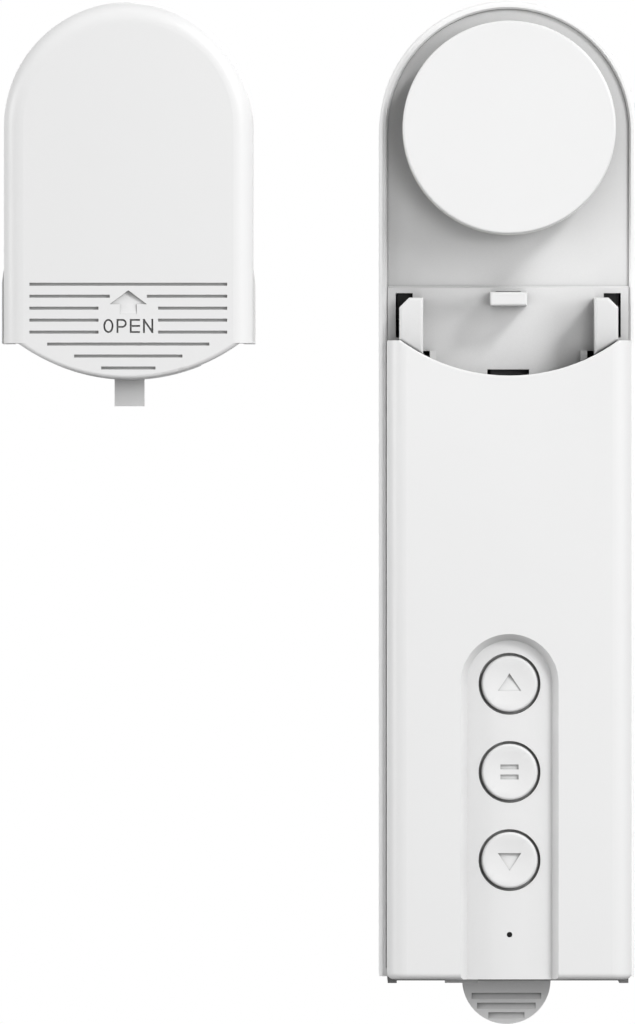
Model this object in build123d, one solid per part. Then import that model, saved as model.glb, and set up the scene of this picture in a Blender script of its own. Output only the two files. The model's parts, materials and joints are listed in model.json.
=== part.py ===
from build123d import *
import math
import os

# Roller blind motor that drives a bead chain, with its chain cover taken off.
# Millimetres. +Z is up, the front faces -Y and the wall is the plane y = 0.
# The origin is the middle of the bracket's two screw holes, on the wall.
# A depth is a distance from the wall, so a depth of 30 lies at y = -30.

# Overall sizes
body_width = 40.0
body_depth = 48.0
rim_depth = 30.0
axis_to_bottom = 131.5
wheel_axis_z = 62.0
wall = 1.5
seat_gap = 0.1
moving_gap = 0.3
running_gap = 0.05
edge_round = 0.3

# Rear housing
back_gap = 0.6
rim_width = 1.25
rim_bevel = 0.3
foot_height = 1.1
foot_width = 1.4
foot_inset = 1.3
foot_rib_height = 0.7
pocket_half_width = 13.0
pocket_depth = 6.4
pocket_top_z = 47.5
lip_reach = 2.1
lip_height = 12.0

# Wall bracket
screw_spacing = 60.0
screw_hole_r = 2.2
screw_sink_r = 4.2
plate_half_width = 10.6
plate_thickness = 2.4
plate_top_z = 46.0
plate_bottom_z = -44.0
plate_corner_r = 3.0
rail_levels = (18.0, -18.0)
rail_height = 10.0
rail_back = 3.2
rail_thickness = 2.0

# Release lever in the foot of the bracket
lever_half_width = 6.93
lever_back = 3.4
lever_thickness = 2.6
lever_axis_z = -40.0
lever_axis_depth = 4.7
lever_pin_r = 1.0
lever_top_reach = 3.0
tab_centre_below = 132.75
tab_groove_below = (134.8, 136.35, 137.85)
tab_groove_height = 1.0
tab_groove_depth = 0.5
tab_groove_margin = 1.1
ear_thickness = 2.0

# Deck behind the chain wheel
recess_depth = 0.7
deck_thickness = 2.2
step_below = 24.3
deck_bottom_below = 44.0
collar_r = 7.0
slot_outer = 17.48
slot_wide = 2.65
slot_narrow = 0.54
slot_top_below = 25.4
slot_wide_height = 2.3
lug_height = 0.6
slot_bottom_below = 32.3
slot_lip = 1.05
block_inner = 13.26
block_outer = 16.94
block_top_below = 26.2
block_height = 8.3
block_chamfer = 1.5
block_round = 0.45
hook_half_width = 2.85
hook_top_below = 25.3
hook_thickness = 2.1
hook_height = 7.4
hook_slot_half = 1.95
hook_slot_height = 0.2
nub_x = 11.7
nub_rise = 1.5
nub_width = 1.0
nub_height = 4.0

# Front shell
front_half_width = 18.85
side_round = 3.0
bottom_round = 0.93
arc_radius = 28.7
arc_lowest_below = 38.36
shoulder_below = 32.93
skirt_length = 2.3
tongue_slot_half_width = 3.25
tongue_slot_height = 2.5
tongue_slot_top_below = 37.25
channel_half_width = 6.57
channel_bevel = 1.0
channel_depth = 1.6
channel_top_below = 79.2
led_below = 124.6
led_r = 0.43

# Buttons
button_below = (85.9, 99.5, 113.1)
button_names = ("up_button", "pause_button", "down_button")
button_r = 4.35
button_hole_r = 4.78
button_proud = 0.3
button_flange_r = 5.6
button_flange = 1.3
button_stem_r = 2.0
button_travel = 0.6
button_edge = 0.4
button_dish_r = 30.0

# Chain cover, parked to the left and in front of the body
cover_arc_gap = 0.2
cover_edge_round = 0.6
cover_foot_play = 1.0
cover_park_x = -58.2
cover_park_depth = 50.0
cover_park_drop = 1.15
cover_pad = 0.3
cover_pad_top_below = 21.5
cover_pad_taper = 2.1
cover_tongue_half_width = 2.27
cover_tongue_length = 3.8
cover_tongue_thickness = 1.6
cover_tongue_root = 0.5
lug_root = 3.0
lug_back_gap = 0.4
grip_count = 8
grip_pitch = 1.807
grip_lowest_below = 36.5
grip_height = 0.45
grip_depth = 0.6
grip_full_half = 14.93
grip_first_half = 4.1
grip_half_step = 4.07
sign_spaces = ((24.8, 26.6, 2.8), (26.6, 32.0, 4.5))
chain_notch_width = 6.0
chain_notch_depth = 12.5

# Chain wheel for 4.5 mm beads at 6 mm pitch
bead_count = 15
bead_pitch = 6.0
bead_r = 2.25
bead_clearance = 0.2
wheel_r = 16.46
wheel_lift = 4.2
rear_flange = 2.0
groove_width = 6.5
front_flange = 1.8
wheel_edge_round = 0.35
hub_r = 13.4
hub_bore_play = 0.05
hub_head_r = 6.3
hub_head = 2.15
cap_thickness = 1.2

# Gear train
module = 0.8
pressure_angle = 20.0
gear_backlash = 0.16
output_teeth = 34
pinion_teeth = 14
wheel_teeth = 18
worm_starts = 2
worm_pitch_r = 3.8
worm_length = 14.0
worm_axis_x = 4.0
worm_wheel_width = 5.0
spur_width = 4.0
gear_hub_wall = 2.0
gear_hub_length = 2.0
output_shaft_r = 4.0
shaft_end_gap = 0.5
bush_wall = 1.5
bush_flange = 1.0
idler_pin_r = 1.5
motor_shaft_r = 1.5
shaft_overrun = 2.0

# Gearbox case
case_half_width = 17.2
case_bottom_below = 29.5
boss_r = 2.2
lid_screw_r = 0.9
lid_boss_r = 1.7
lid_screw_length = 7.0

# Motor, a common flat sided can
motor_width = 20.4
motor_flat = 15.4
motor_length = 22.0
motor_bell = 3.0
motor_bell_trim = 0.5
motor_nose_r = 3.0
motor_nose = 1.2

# Cells and boards
cell_r = 9.1
cell_length = 65.0
cell_gap = 0.15
cell_end_room = 1.0
pole_height = 1.2
tray_floor = 0.9
tray_rail = 0.9
tray_room = 1.1
strip_thickness = 0.3
strip_half_length = 2.0
strip_width = 5.0
board_half_width = 15.5
board_gap = 6.9
board_thickness = 1.6
board_top_below = 46.0
board_bottom_below = 129.0
switch_size = 6.0
switch_height = 3.2
plunger_r = 1.6
plunger_height = 0.8
lamp_width = 1.6
lamp_length = 2.0
lamp_height = 0.9
lens_foot_r = 1.3
port_x = -7.4
port_width = 9.0
port_height = 3.2
port_length = 7.4
port_skin = 0.4
flap_width = 11.0
flap_length = 6.4
flap_thickness = 1.2
flap_pin_r = 0.6
flap_lip_width = 5.1
flap_lip_depth = 1.0
flap_lip = 0.65
radio_size = (16.0, 24.0, 2.6)
radio_below = 61.0

# Screws
screw_r = 1.25
screw_head_r = 2.3
screw_head = 1.6
case_screw_x = 16.1
screw_post_wall = 1.0
post_room = 0.8

# Worked out from the sizes above
body_half = body_width / 2
housing_bottom_z = wheel_axis_z - axis_to_bottom
cavity_half = body_half - wall
seat_half = body_half - rim_width
deck_half_width = seat_half - running_gap
deck_front = rim_depth - running_gap
deck_back = rim_depth - recess_depth - deck_thickness
ledge_depth = deck_back - seat_gap
wheel_back = rim_depth - recess_depth + wheel_lift
wheel_front = wheel_back + rear_flange + groove_width + front_flange + cap_thickness
collar_front = wheel_back - moving_gap
hub_seat = wheel_front - cap_thickness - hub_head - moving_gap - running_gap
case_back = pocket_depth + wall + moving_gap
case_front = deck_back - seat_gap
spur_back = case_front - wall - moving_gap - spur_width
worm_axis_depth = case_back + moving_gap + motor_flat / 2
arc_centre_z = wheel_axis_z - arc_lowest_below + arc_radius
nub_top_z = arc_centre_z - math.sqrt(arc_radius**2 - nub_x**2) + nub_rise
idler_distance = module * (output_teeth + pinion_teeth) / 2
worm_distance = module * wheel_teeth / 2 + worm_pitch_r
worm_lead = worm_starts * math.pi * module
shaft_low_z = wheel_axis_z - case_bottom_below - motor_length - motor_bell / 2
idler_x = worm_axis_x - worm_distance
idler_z = wheel_axis_z - math.sqrt(idler_distance**2 - idler_x**2)
bush_r = output_shaft_r + bush_wall
channel_floor = body_depth - channel_depth
inner_face = channel_floor - wall
board_front = inner_face - board_gap
board_back = board_front - board_thickness
bead_ring_r = bead_count * bead_pitch / (2 * math.pi)
cell_depth = pocket_depth + wall + seat_gap + tray_floor + cell_gap + cell_r
cell_centre_x = cell_r + cell_gap / 2
post_r = screw_head_r + wall / 2
motor_bottom_below = case_bottom_below + seat_gap + motor_length + running_gap + motor_bell
case_screw_below = motor_bottom_below + post_room + post_r
cell_top_below = case_screw_below + post_r + tray_room + wall / 2 + cell_end_room


def below(distance):
    """Height of a point this far under the wheel axis."""
    return wheel_axis_z - distance


def slab(outline, back, front):
    """Outline drawn in X and Z, made solid from one depth to another."""
    return extrude(Plane.XZ.offset(back) * outline, amount=front - back)


def block(x_range, z_range, back, front):
    """Box between two X values, two heights and two depths."""
    x_size = x_range[1] - x_range[0]
    z_size = z_range[1] - z_range[0]
    outline = Pos(sum(x_range) / 2, sum(z_range) / 2) * Rectangle(x_size, z_size)
    return slab(outline, back, front)


def rod(x, z, radius, back, front):
    """Round bar across the depth."""
    return slab(Pos(x, z) * Circle(radius), back, front)


def upright(x, depth, radius, low_z, high_z):
    """Round bar that stands up along Z."""
    plane = Plane(origin=(x, -depth, low_z), z_dir=(0, 0, 1))
    return extrude(plane * Circle(radius), amount=high_z - low_z)


def across(points, half_width):
    """Solid along X from an outline of (depth, height) points, to both sides of x = 0."""
    plane = Plane(origin=(0, 0, 0), x_dir=(0, -1, 0), z_dir=(-1, 0, 0))
    return extrude(plane * make_face(Polyline(*points, close=True)), amount=half_width, both=True)


def both_sides(shape):
    """The shape and its mirror image in the plane x = 0."""
    return shape + mirror(shape, about=Plane.YZ)


def arch(half_width, bottom_z):
    """Half round top about the wheel axis, with straight sides down to bottom_z."""
    height = wheel_axis_z - bottom_z
    sides = Pos(0, wheel_axis_z - height / 2) * Rectangle(2 * half_width, height)
    return Pos(0, wheel_axis_z) * Circle(half_width) + sides


def front_edges(shape, depth):
    """Edges that lie wholly at one depth."""
    return shape.edges().filter_by(lambda e: abs(e.bounding_box().min.Y + depth) < 0.01
                                   and abs(e.bounding_box().max.Y + depth) < 0.01)


def make_wall_bracket():
    """Screwed plate with two cross rails and ears for the release lever."""
    height = plate_top_z - plate_bottom_z
    centre_z = (plate_top_z + plate_bottom_z) / 2
    outline = Pos(0, centre_z) * RectangleRounded(2 * plate_half_width, height, plate_corner_r)
    plate = slab(outline, 0, plate_thickness)
    rail_half = pocket_half_width - moving_gap
    rail_front = rail_back + rail_thickness
    for level in rail_levels:
        z_range = (level - rail_height / 2, level + rail_height / 2)
        plate += block((-plate_half_width, plate_half_width), z_range, plate_thickness, rail_back)
        plate += block((-rail_half, rail_half), z_range, rail_back, rail_front)
    ear_inner = lever_half_width + moving_gap
    ear_z = (plate_bottom_z, lever_axis_z + lever_top_reach + moving_gap)
    ear = block((ear_inner, ear_inner + ear_thickness), ear_z, plate_thickness, pocket_depth - moving_gap)
    plate += both_sides(ear)
    plate -= lever_pin_bore(lever_pin_r + running_gap)
    for side in (-1, 1):
        hole_z = side * screw_spacing / 2
        plate -= rod(0, hole_z, screw_hole_r, 0, plate_thickness)
        sink = Plane.XZ.offset(plate_thickness) * Pos(0, hole_z) * Circle(screw_sink_r)
        plate -= extrude(sink, amount=-(screw_sink_r - screw_hole_r), taper=45)
    return plate


def lever_pin_bore(radius):
    """Bar along X on the lever's axis, as long as the ears are apart outside."""
    reach = lever_half_width + moving_gap + ear_thickness
    centre = Plane(origin=(0, -lever_axis_depth, lever_axis_z), z_dir=(1, 0, 0))
    return extrude(centre * Circle(radius), amount=reach, both=True)


def make_release_lever():
    """Lever with a half round finger tab and three grip pockets below the body."""
    top_z = lever_axis_z + lever_top_reach
    tab_z = below(tab_centre_below)
    front = lever_back + lever_thickness
    strip = block((-lever_half_width, lever_half_width), (tab_z, top_z), lever_back, front)
    lever = strip + rod(0, tab_z, lever_half_width, lever_back, front)
    for groove_below in tab_groove_below:
        groove_z = below(groove_below)
        drop = tab_z - groove_z
        reach = math.sqrt((lever_half_width - tab_groove_margin)**2 - drop**2)
        wedge = [(front, groove_z), (front - tab_groove_depth, groove_z),
                 (front, groove_z - tab_groove_height)]
        lever -= across(wedge, reach)
    return lever - lever_pin_bore(lever_pin_r + running_gap)


def make_rear_housing():
    """Moulded back case, open to the front, with a pocket that slides over the bracket."""
    shell = slab(arch(body_half, housing_bottom_z), back_gap, rim_depth)
    inside_bottom = housing_bottom_z + wall
    shell -= slab(arch(cavity_half, inside_bottom), back_gap + wall, rim_depth)
    shell -= slab(arch(seat_half, inside_bottom), ledge_depth, rim_depth)
    bevel_plane = Plane.XZ.offset(rim_depth - rim_bevel)
    shell -= extrude(bevel_plane * arch(seat_half, inside_bottom), amount=rim_bevel, taper=-45)
    pocket_z = (housing_bottom_z, pocket_top_z)
    pocket_x = (-pocket_half_width, pocket_half_width)
    step_x = (-pocket_half_width - wall, pocket_half_width + wall)
    step_z = (housing_bottom_z, pocket_top_z + wall)
    shell += block(step_x, step_z, back_gap, pocket_depth + wall)
    shell -= block(pocket_x, pocket_z, back_gap, pocket_depth)
    for level in rail_levels:
        lip_x = (pocket_half_width - lip_reach, pocket_half_width)
        lip_z = (level - lip_height / 2, level + lip_height / 2)
        shell += both_sides(block(lip_x, lip_z, back_gap, rail_back - moving_gap))
    foot_x = (body_half - foot_inset - foot_width, body_half - foot_inset)
    foot_z = (housing_bottom_z - foot_height, housing_bottom_z)
    shell += both_sides(block(foot_x, foot_z, back_gap + wall, rim_depth - wall))
    rib_z = (housing_bottom_z - foot_rib_height, housing_bottom_z)
    shell += block((-foot_x[0], foot_x[0]), rib_z, rim_depth - 2 * wall, rim_depth - wall)
    for x, z in housing_posts():
        shell += rod(x, z, boss_r, back_gap + wall, case_back - seat_gap)
    for side in (-1, 1):
        screw_x = side * case_screw_x
        screw_z = below(case_screw_below)
        shell += rod(screw_x, screw_z, post_r, back_gap + wall, ledge_depth)
        shell -= rod(screw_x, screw_z, screw_r + seat_gap, back_gap, ledge_depth)
        shell -= rod(screw_x, screw_z, screw_head_r + seat_gap, back_gap, pocket_depth + screw_head)
    return shell


def housing_posts():
    """Centres of the posts that carry the upper end of the gearbox."""
    post_radius = case_half_width - 2 * boss_r
    return [(post_radius * math.cos(a), wheel_axis_z + post_radius * math.sin(a))
            for a in (math.radians(30), math.radians(90), math.radians(150))]


def make_deck_plate():
    """Recess floor behind the wheel, and the stepped part that holds the cover."""
    bottom_z = below(deck_bottom_below)
    step_z = below(step_below)
    deck = slab(arch(deck_half_width, bottom_z), deck_back, deck_front)
    deck -= slab(arch(seat_half, step_z), rim_depth - recess_depth, rim_depth)
    bevel = [(deck_front, step_z), (deck_front, step_z - edge_round), (deck_front - edge_round, step_z)]
    deck -= across(bevel, seat_half)
    deck += both_sides(make_side_block())
    deck += both_sides(make_nub())
    deck += make_hook()
    hook_z = below(hook_top_below)
    hook_slot_z = (hook_z, hook_z + hook_slot_height)
    deck -= block((-hook_slot_half, hook_slot_half), hook_slot_z, deck_back, rim_depth)
    corner_x = (nub_x + nub_width / 2, block_inner)
    deck -= both_sides(block(corner_x, (below(arc_lowest_below), nub_top_z), deck_back, rim_depth))
    slot_z = (bottom_z + wall, below(tongue_slot_top_below))
    slot_x = (-tongue_slot_half_width, tongue_slot_half_width)
    deck -= block(slot_x, slot_z, deck_back, rim_depth)
    deck -= both_sides(make_cover_slot())
    deck += rod(0, wheel_axis_z, collar_r, deck_back, collar_front)
    deck -= rod(0, wheel_axis_z, bush_r, deck_back, collar_front)
    return deck


def make_side_block():
    """Block that guides the cover, cut to the arc of the front shell."""
    top_z = below(block_top_below)
    bottom_z = below(arc_lowest_below)
    outline = Pos((block_inner + block_outer) / 2, (top_z + bottom_z) / 2) * Rectangle(
        block_outer - block_inner, top_z - bottom_z)
    corner = outline.vertices().sort_by(Axis.Y)[-2:].sort_by(Axis.X)[-1]
    outline = chamfer(corner, block_chamfer)
    outline &= Pos(0, arc_centre_z) * Circle(arc_radius - seat_gap)
    front = deck_front + block_height
    side_block = slab(outline, deck_front, front)
    return fillet(front_edges(side_block, front), block_round)


def make_nub():
    """Small post in the corner between the deck and the arc of the front shell."""
    low_z = below(arc_lowest_below)
    outline = Pos(nub_x, (low_z + nub_top_z) / 2) * Rectangle(nub_width, nub_top_z - low_z)
    outline &= Pos(0, arc_centre_z) * Circle(arc_radius - seat_gap)
    return slab(outline, deck_front, deck_front + nub_height)


def make_hook():
    """Hook in the middle of the deck that steadies the cover."""
    top_z = below(hook_top_below)
    z_range = (top_z - hook_thickness, top_z)
    x_range = (-hook_half_width, hook_half_width)
    front = deck_front + hook_height
    return fillet(front_edges(block(x_range, z_range, deck_front, front), front), edge_round)


def make_cover_slot():
    """L shaped slot with an undercut, for one lug of the cover."""
    inner = slot_outer - slot_wide
    narrow = slot_outer - slot_narrow
    top_z = below(slot_top_below)
    bottom_z = below(slot_bottom_below)
    mouth = block((inner, slot_outer), (top_z - slot_wide_height, top_z), deck_back, rim_depth)
    leg = block((narrow, slot_outer), (bottom_z, top_z), deck_back, rim_depth)
    undercut = block((inner, slot_outer), (bottom_z, top_z), deck_back, deck_front - slot_lip)
    return mouth + leg + undercut


def shell_outline(inset):
    """Front shell seen from the front, with every wall moved in by inset."""
    half = front_half_width - inset
    top_z = below(shoulder_below) - inset
    bottom_z = housing_bottom_z + inset
    sheet = Pos(0, (top_z + bottom_z) / 2) * Rectangle(2 * half, top_z - bottom_z)
    return sheet - Pos(0, arc_centre_z) * Circle(arc_radius + inset)


def shell_form(inset, back):
    """Solid of the front shell's shape with rounded long edges."""
    front = body_depth - inset
    form = slab(shell_outline(inset), back, front)
    long_edges = front_edges(form, front).filter_by(Axis.Z)
    form = fillet(long_edges, side_round - inset)
    return form


def make_front_shell():
    """Front case with the button channel and the slot for the cover's tongue."""
    shell = shell_form(0, rim_depth + running_gap)
    low_edges = front_edges(shell, body_depth).sort_by(Axis.Z)[:1]
    shell = fillet(low_edges, bottom_round)
    arc_edges = front_edges(shell, body_depth).filter_by(GeomType.CIRCLE)
    shell = fillet(arc_edges, edge_round)
    shell += make_skirt()
    shell += inner_step()
    shell -= shell_form(wall, rim_depth - skirt_length) - inner_step()
    shell -= make_channel()
    for distance in button_below:
        shell -= rod(0, below(distance), button_hole_r, inner_face - wall, body_depth)
    shell -= rod(0, below(led_below), led_r, inner_face - wall, body_depth)
    slot_z = (below(arc_lowest_below) - wall - moving_gap, below(arc_lowest_below) + wall)
    slot_x = (-tongue_slot_half_width, tongue_slot_half_width)
    shell -= block(slot_x, slot_z, rim_depth, rim_depth + tongue_slot_height)
    shell -= make_port_opening()
    for side in (-1, 1):
        shell += make_screw_post(side * case_screw_x)
    return shell


def make_skirt():
    """Band that plugs the front shell into the rim of the housing."""
    top_z = below(deck_bottom_below) - seat_gap
    bottom_z = housing_bottom_z + wall + seat_gap
    height = top_z - bottom_z
    half = seat_half - seat_gap
    outer = Pos(0, (top_z + bottom_z) / 2) * Rectangle(2 * half, height)
    inner = Pos(0, (top_z + bottom_z) / 2) * Rectangle(2 * (front_half_width - wall), height - 2 * wall)
    return slab(outer - inner, rim_depth - skirt_length, rim_depth + running_gap)


def inner_step():
    """Plate behind the channel that keeps the wall at full thickness there."""
    half = channel_half_width + channel_bevel + wall
    top_z = below(channel_top_below) + channel_bevel + wall
    return block((-half, half), (housing_bottom_z, top_z), inner_face, body_depth - wall / 2)


def make_channel():
    """Round topped channel for the buttons, open at the foot, with bevelled sides."""
    top_z = below(channel_top_below) - channel_half_width
    outline = Pos(0, top_z) * Circle(channel_half_width)
    drop = top_z - housing_bottom_z + channel_bevel + bottom_round
    outline += Pos(0, top_z - drop / 2) * Rectangle(2 * channel_half_width, drop)
    taper = -math.degrees(math.atan(channel_bevel / channel_depth))
    return extrude(Plane.XZ.offset(channel_floor) * outline, amount=channel_depth, taper=taper)


def make_port_opening():
    """Seat of the port flap in the foot of the front shell, and the hole behind it."""
    half = flap_width / 2 + seat_gap
    seat_z = (housing_bottom_z, housing_bottom_z + flap_thickness)
    front = port_depth() + flap_length / 2 + seat_gap
    back = front - flap_length - 2 * seat_gap
    seat = block((port_x - half, port_x + half), seat_z, back, front)
    hole_half = port_width / 2 + moving_gap
    hole_z = (housing_bottom_z, housing_bottom_z + wall)
    hole_back = board_front - moving_gap
    hole_front = board_front + port_height + moving_gap
    return seat + block((port_x - hole_half, port_x + hole_half), hole_z, hole_back, hole_front)


def port_depth():
    """Depth of the middle of the charging port."""
    return board_front + port_height / 2


def make_screw_post(x):
    """Post of the front shell that takes a case screw."""
    z = below(case_screw_below)
    outer_r = screw_r + screw_post_wall
    post = rod(x, z, outer_r, ledge_depth + seat_gap, body_depth - wall)
    link_x = (x, front_half_width - wall) if x > 0 else (-(front_half_width - wall), x)
    post += block(link_x, (z - wall / 2, z + wall / 2), rim_depth, body_depth - wall)
    return post - rod(x, z, screw_r, ledge_depth, ledge_depth + 4 * wall)


def make_port_flap():
    """Soft flap in the foot of the shell, with a pin along its back edge and a lip."""
    half = flap_width / 2
    front = port_depth() + flap_length / 2
    pin_depth = front - flap_length + flap_pin_r
    plate_z = (housing_bottom_z + seat_gap / 2, housing_bottom_z + flap_thickness - seat_gap)
    plate = block((port_x - half, port_x + half), plate_z, pin_depth, front)
    pin_plane = Plane(origin=(port_x, -pin_depth, sum(plate_z) / 2), z_dir=(1, 0, 0))
    plate += extrude(pin_plane * Circle((plate_z[1] - plate_z[0]) / 2), amount=half, both=True)
    lip_half = flap_lip_width / 2
    lip_z = (housing_bottom_z - flap_lip, sum(plate_z) / 2)
    plate += block((port_x - lip_half, port_x + lip_half), lip_z, front - flap_lip_depth, front)
    return plate


def make_button(distance):
    """Round key with a shallow dish, a flange behind the wall and a stem."""
    z = below(distance)
    front = channel_floor + button_proud
    flange_front = inner_face - seat_gap
    flange_back = flange_front - button_flange
    cap = rod(0, z, button_r, flange_back, front)
    cap = fillet(front_edges(cap, front), button_edge)
    dish_depth = button_dish_r - math.sqrt(button_dish_r**2 - (button_r - button_edge)**2)
    dish_centre = (0, -(front + button_dish_r - dish_depth), z)
    cap -= Pos(*dish_centre) * Sphere(button_dish_r)
    cap += rod(0, z, button_flange_r, flange_back, flange_front)
    cap += rod(0, z, button_stem_r, switch_front() + button_travel + seat_gap, flange_back)
    return cap


def switch_front():
    """Depth of the tip of a switch plunger."""
    return board_front + switch_height + plunger_height


def make_tact_switches():
    """Three small push switches on the board, one behind each button."""
    group = []
    half = switch_size / 2
    for distance in button_below:
        z = below(distance)
        body = block((-half, half), (z - half, z + half), board_front, board_front + switch_height)
        group.append(body + rod(0, z, plunger_r, board_front, switch_front()))
    return Compound(children=group)


def make_main_board():
    """Circuit board behind the buttons."""
    z_range = (below(board_bottom_below), below(board_top_below))
    board = block((-board_half_width, board_half_width), z_range, board_back, board_front)
    for side in (-1, 1):
        hole_r = screw_r + screw_post_wall + moving_gap
        board -= rod(side * case_screw_x, below(case_screw_below), hole_r, board_back, board_front)
    return board


def make_usb_port():
    """Metal charging socket on the board, with its mouth at the foot."""
    half = port_width / 2
    mouth_z = housing_bottom_z + flap_thickness + moving_gap
    z_range = (mouth_z, mouth_z + port_length)
    top = board_front + port_height
    shell = block((port_x - half, port_x + half), z_range, board_front, top)
    inner_x = (port_x - half + port_skin, port_x + half - port_skin)
    inner_z = (mouth_z, mouth_z + port_length - port_skin)
    shell -= block(inner_x, inner_z, board_front + port_skin, top - port_skin)
    tongue_x = (port_x - half / 2, port_x + half / 2)
    tongue_z = (mouth_z + 2 * port_skin, mouth_z + port_length - port_skin)
    return shell + block(tongue_x, tongue_z, port_depth() - port_skin, port_depth() + port_skin)


def make_radio_module():
    """Shielded radio module on the front of the board."""
    width, height, thickness = radio_size
    z = below(radio_below)
    z_range = (z - height / 2, z + height / 2)
    return block((-width / 2, width / 2), z_range, board_front, board_front + thickness)


def make_status_led():
    """Small lamp on the board behind the light pipe."""
    z = below(led_below)
    x_range = (-lamp_width / 2, lamp_width / 2)
    z_range = (z - lamp_length / 2, z + lamp_length / 2)
    return block(x_range, z_range, board_front, board_front + lamp_height)


def make_led_lens():
    """Light pipe from the lamp to the pinhole in the channel."""
    z = below(led_below)
    thin = rod(0, z, led_r - running_gap, inner_face - seat_gap, channel_floor - seat_gap)
    foot_back = board_front + lamp_height + moving_gap
    return thin + rod(0, z, lens_foot_r, foot_back, inner_face - seat_gap)


def make_cell(x):
    """Round rechargeable cell with a small plus pole."""
    top_z = below(cell_top_below)
    cell = upright(x, cell_depth, cell_r, top_z - cell_length, top_z - pole_height)
    return cell + upright(x, cell_depth, cell_r / 3, top_z - pole_height, top_z)


def make_battery_tray():
    """Tray on the floor of the housing with three rails that cradle the cells."""
    top_z = below(cell_top_below) + cell_end_room
    bottom_z = below(cell_top_below) - cell_length
    back = pocket_depth + wall + seat_gap
    half = pocket_half_width
    tray = block((-half, half), (bottom_z, top_z), back, back + tray_floor)
    rail_top = cell_depth - cell_r / 2
    tray += block((-tray_rail / 2, tray_rail / 2), (bottom_z, top_z), back, rail_top)
    for x in (-cell_centre_x, cell_centre_x):
        tray -= upright(x, cell_depth, cell_r + cell_gap, bottom_z, top_z)
    end_wall = block((-half, half), (top_z, top_z + wall / 2), back, cell_depth + cell_r / 2)
    return tray + end_wall


def make_battery_tabs():
    """Nickel strips at the two ends of the cells."""
    inner = cell_centre_x - strip_half_length
    outer = cell_centre_x + strip_half_length
    depths = (cell_depth - strip_width / 2, cell_depth + strip_width / 2)
    top = below(cell_top_below) + seat_gap
    low = below(cell_top_below) - cell_length - seat_gap
    left = block((-outer, -inner), (top, top + strip_thickness), *depths)
    right = block((inner, outer), (top, top + strip_thickness), *depths)
    link = block((-outer, outer), (low - strip_thickness, low), *depths)
    return Compound(children=[left, right, link])


def make_front_bush():
    """Plain sleeve that carries the output shaft in the lid and the deck collar."""
    back = case_front - wall + running_gap
    bush = rod(0, wheel_axis_z, bush_r - running_gap, back, collar_front)
    return bush - rod(0, wheel_axis_z, output_shaft_r + running_gap, back, collar_front)


def make_rear_bush():
    """Flanged bearing that carries the output shaft in the back of the case."""
    flange_back = case_back + 2 * wall + running_gap
    front = flange_back + bush_flange
    bush = rod(0, wheel_axis_z, bush_r - running_gap, case_back + seat_gap, front)
    bush += rod(0, wheel_axis_z, bush_r + bush_flange, flange_back, front)
    return bush - rod(0, wheel_axis_z, output_shaft_r + running_gap, case_back, front)


def involute_half_angle(radius, teeth):
    """Half the angle that one tooth fills at this radius."""
    pitch_r = module * teeth / 2
    base_r = pitch_r * math.cos(math.radians(pressure_angle))
    pitch_half = math.pi / 2 / teeth - gear_backlash / 4 / pitch_r
    start = math.radians(pressure_angle)
    alpha = math.acos(min(1.0, base_r / radius))
    return pitch_half + (math.tan(start) - start) - (math.tan(alpha) - alpha)


def gear_outline(teeth, first_angle):
    """Spur gear outline with a tooth at first_angle, measured from +X towards +Z."""
    pitch_r = module * teeth / 2
    radii = (pitch_r - 1.25 * module, pitch_r, pitch_r + module)
    points = []
    for tooth in range(teeth):
        middle = first_angle + 2 * math.pi * tooth / teeth
        flank = [(r, involute_half_angle(r, teeth)) for r in radii]
        for radius, half in flank:
            points.append((radius * math.cos(middle - half), radius * math.sin(middle - half)))
        for radius, half in reversed(flank):
            points.append((radius * math.cos(middle + half), radius * math.sin(middle + half)))
    return make_face(Polyline(*points, close=True))


def mesh_angle():
    """Direction from the output axis to the idler axis, from +X towards +Z."""
    return math.atan2(idler_z - wheel_axis_z, idler_x)


def make_output_gear():
    """Large spur gear on the output shaft."""
    outline = Pos(0, wheel_axis_z) * gear_outline(output_teeth, mesh_angle())
    front = spur_back + spur_width
    hub_back = spur_back - gear_hub_length
    gear = slab(outline, spur_back, front)
    gear += rod(0, wheel_axis_z, output_shaft_r + gear_hub_wall, hub_back, front)
    return gear - rod(0, wheel_axis_z, output_shaft_r + running_gap, hub_back, front)


def make_idler_pinion():
    """Small spur gear on the idler, with a gap facing the output gear's tooth."""
    gap_angle = mesh_angle() + math.pi + math.pi / pinion_teeth
    outline = Pos(idler_x, idler_z) * gear_outline(pinion_teeth, gap_angle)
    back = worm_axis_depth + worm_wheel_width / 2
    pinion = slab(outline, spur_back - seat_gap, spur_back + spur_width)
    pinion += rod(idler_x, idler_z, idler_pin_r + gear_hub_wall, back, spur_back)
    return pinion - rod(idler_x, idler_z, idler_pin_r + running_gap, back, spur_back + spur_width)


def make_worm_wheel():
    """Gear of slanted teeth driven by the worm."""
    lead_slope = worm_lead / (2 * math.pi * worm_pitch_r)
    twist = worm_wheel_width * lead_slope / (module * wheel_teeth / 2)
    back = worm_axis_depth - worm_wheel_width / 2
    outline = gear_outline(wheel_teeth, -twist / 2)
    face = (Plane.XZ.offset(back) * Pos(idler_x, idler_z) * outline).face()
    solid = Solid.extrude_linear_with_rotation(face, Vector(idler_x, -back, idler_z),
                                               Vector(0, -worm_wheel_width, 0), math.degrees(twist))
    bore = rod(idler_x, idler_z, idler_pin_r + running_gap, back, back + worm_wheel_width)
    return solid - bore


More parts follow.
